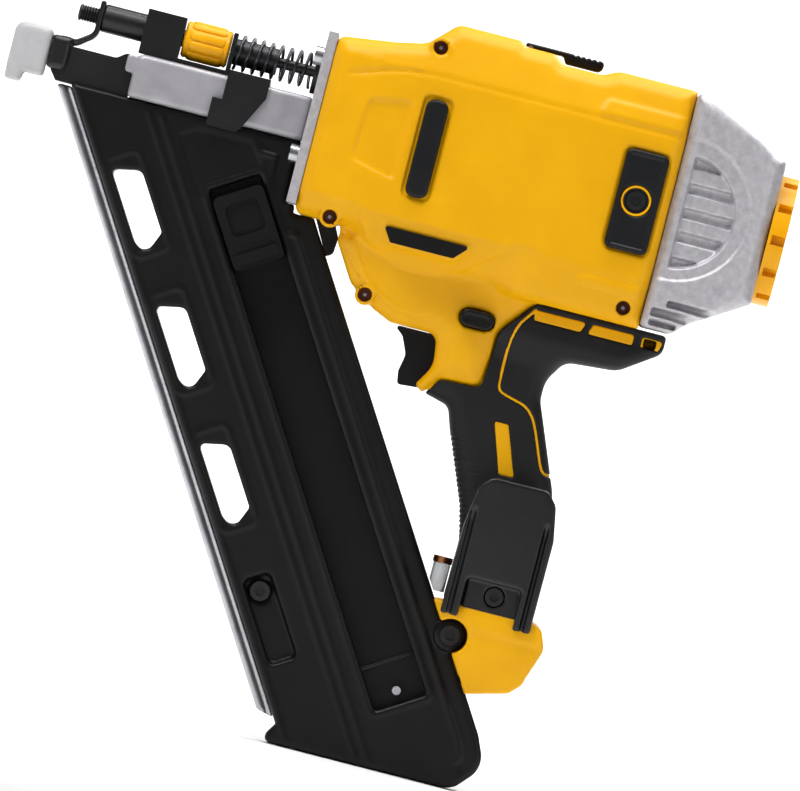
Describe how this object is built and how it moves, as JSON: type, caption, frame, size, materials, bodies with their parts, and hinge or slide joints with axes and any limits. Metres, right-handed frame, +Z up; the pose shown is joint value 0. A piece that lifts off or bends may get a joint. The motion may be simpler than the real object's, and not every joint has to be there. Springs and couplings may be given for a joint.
{
  "type": "cordless framing nailer",
  "caption": "Battery framing nail gun: moulded head with flywheel drive, handle and battery foot, sprung contact trip with depth wheel, and a leaning stick magazine with pusher.",
  "frame": {"origin": "centre of the no-mar pad's front face, on the line the nail is driven along", "axes": "+X from the nose to the rear cap along the drive line, +Y to the tool's right, +Z up, handle and magazine below"},
  "size_m": [0.364, 0.081, 0.339],
  "materials": {
    "housing_nylon": "moulded glass-filled nylon, amber yellow",
    "black_nylon": "moulded glass-filled nylon, black",
    "grip_rubber": "overmoulded elastomer, dark grey",
    "cast_metal": "die-cast magnesium, tumbled",
    "nose_steel": "ground and blasted tool steel",
    "bright_steel": "cold-drawn bright steel",
    "black_steel": "black oxide on steel",
    "spring_steel": "hard-drawn spring wire",
    "clear_plastic": "translucent moulded elastomer",
    "lens_plastic": "clear polycarbonate",
    "copper": "copper alloy",
    "board": "glass-epoxy board",
    "lamination": "varnished electrical steel",
    "yellow_plastic": "moulded acetal, yellow"
  },
  "bodies": {
    "tool": {"housing_left": "housing_nylon", "housing_right": "housing_nylon", "overmould_left": "grip_rubber", "overmould_right": "grip_rubber", "casing_screws": "black_steel", "side_bumpers_front": "grip_rubber", "side_bumpers_rear": "grip_rubber", "bumper_washers": "yellow_plastic", "bumper_screws": "bright_steel", "blank_plates": "black_nylon", "rear_cap": "cast_metal", "rear_bumper_ring": "yellow_plastic", "channel_nose": "black_steel", "nosepiece": "nose_steel", "front_flange": "cast_metal", "flange_bolts": "bright_steel", "spring_seat": "black_steel", "trip_spring": "spring_steel", "inner_frame": "cast_metal", "guide_rods": "bright_steel", "driver_bumper": "grip_rubber", "return_springs": "spring_steel", "motor_stator": "lamination", "flywheel_axle": "bright_steel", "pinch_pin": "bright_steel", "solenoid": "black_steel", "trigger_spring": "spring_steel", "trigger_switch": "black_nylon", "stall_lever_pin": "bright_steel", "magazine_left": "black_nylon", "magazine_right": "black_nylon", "magazine_rail": "bright_steel", "magazine_screw": "bright_steel", "pusher_stop_pin": "bright_steel", "foot_bolt": "bright_steel", "magazine_bracket": "black_nylon", "terminal_block": "black_nylon", "terminal_blades": "copper", "control_board": "board", "led_lens": "lens_plastic", "led_ring": "copper", "belt_hook": "black_steel", "hook_screw": "bright_steel"},
    "trip_carriage": {"trip_cradle": "black_steel", "trip_strap": "black_steel", "trip_plunger": "bright_steel"},
    "depth_wheel_body": {"depth_wheel": "yellow_plastic"},
    "contact_tip_body": {"contact_tip": "black_steel", "no_mar_pad": "clear_plastic", "trip_rod": "bright_steel"},
    "driver_body": {"driver": "nose_steel"},
    "flywheel_body": {"flywheel": "bright_steel"},
    "pinch_arm_body": {"pinch_arm": "black_steel"},
    "pinch_roller_body": {"pinch_roller": "bright_steel"},
    "plunger_body": {"solenoid_plunger": "bright_steel"},
    "trigger_body": {"trigger": "black_nylon"},
    "lockoff_body": {"lockoff_button": "black_nylon"},
    "stall_lever_body": {"stall_lever": "black_nylon"},
    "pusher_body": {"pusher": "black_nylon", "pusher_spring": "spring_steel"}
  },
  "joints": [
    {"name": "contact_trip", "type": "slide", "parent": "tool", "child": "trip_carriage", "axis": [1, 0, 0], "range_m": [0, 0.01], "stiffness_N_per_m": 500, "springref_m": -0.01, "deforming": ["trip_spring"]},
    {"name": "depth_setting", "type": "slide", "parent": "trip_carriage", "child": "contact_tip_body", "axis": [1, 0, 0], "range_m": [-0.0025, 0.0025]},
    {"name": "depth_wheel_turn", "type": "hinge", "parent": "trip_carriage", "child": "depth_wheel_body", "pos_m": [0.086, 0, 0.0228], "axis": [1, 0, 0], "range_deg": [-720, 720]},
    {"name": "driver_stroke", "type": "slide", "parent": "tool", "child": "driver_body", "axis": [-1, 0, 0], "range_m": [0, 0.108], "stiffness_N_per_m": 60, "springref_m": -0.05, "deforming": ["return_springs"]},
    {"name": "flywheel_spin", "type": "hinge", "parent": "tool", "child": "flywheel_body", "pos_m": [0.2, 0, -0.0353], "axis": [0, 1, 0], "continuous": true},
    {"name": "pinch_arm_swing", "type": "hinge", "parent": "tool", "child": "pinch_arm_body", "pos_m": [0.226, 0, 0.02], "axis": [0, -1, 0], "range_deg": [0, 4.2], "stiffness_Nm_per_rad": 0.4, "springref_deg": -5.73},
    {"name": "pinch_roller_spin", "type": "hinge", "parent": "pinch_arm_body", "child": "pinch_roller_body", "pos_m": [0.2, 0, 0.0153], "axis": [0, 1, 0], "continuous": true},
    {"name": "solenoid_stroke", "type": "slide", "parent": "tool", "child": "plunger_body", "axis": [-1, 0, 0], "range_m": [0, 0.0013]},
    {"name": "trigger_pull", "type": "slide", "parent": "tool", "child": "trigger_body", "axis": [1, 0, 0], "range_m": [0, 0.005], "stiffness_N_per_m": 500, "springref_m": -0.004, "deforming": ["trigger_spring"]},
    {"name": "lockoff_push", "type": "slide", "parent": "tool", "child": "lockoff_body", "axis": [0, 1, 0], "range_m": [-0.003, 0.003]},
    {"name": "stall_lever_lift", "type": "hinge", "parent": "tool", "child": "stall_lever_body", "pos_m": [0.23, 0, 0.0576], "axis": [0, -1, 0], "range_deg": [0, 40], "stiffness_Nm_per_rad": 0.02, "springref_deg": -17.19},
    {"name": "nail_pusher", "type": "slide", "parent": "tool", "child": "pusher_body", "axis": [0.5314, 0, -0.8471], "range_m": [0, 0.185], "stiffness_N_per_m": 20, "springref_m": -0.25}
  ],
  "couplings": [
    {"joint": "depth_wheel_turn", "follows": "depth_setting", "rad_per_m": 5026.5},
    {"joint": "solenoid_stroke", "follows": "pinch_arm_swing", "m_per_rad": 0.01738}
  ]
}
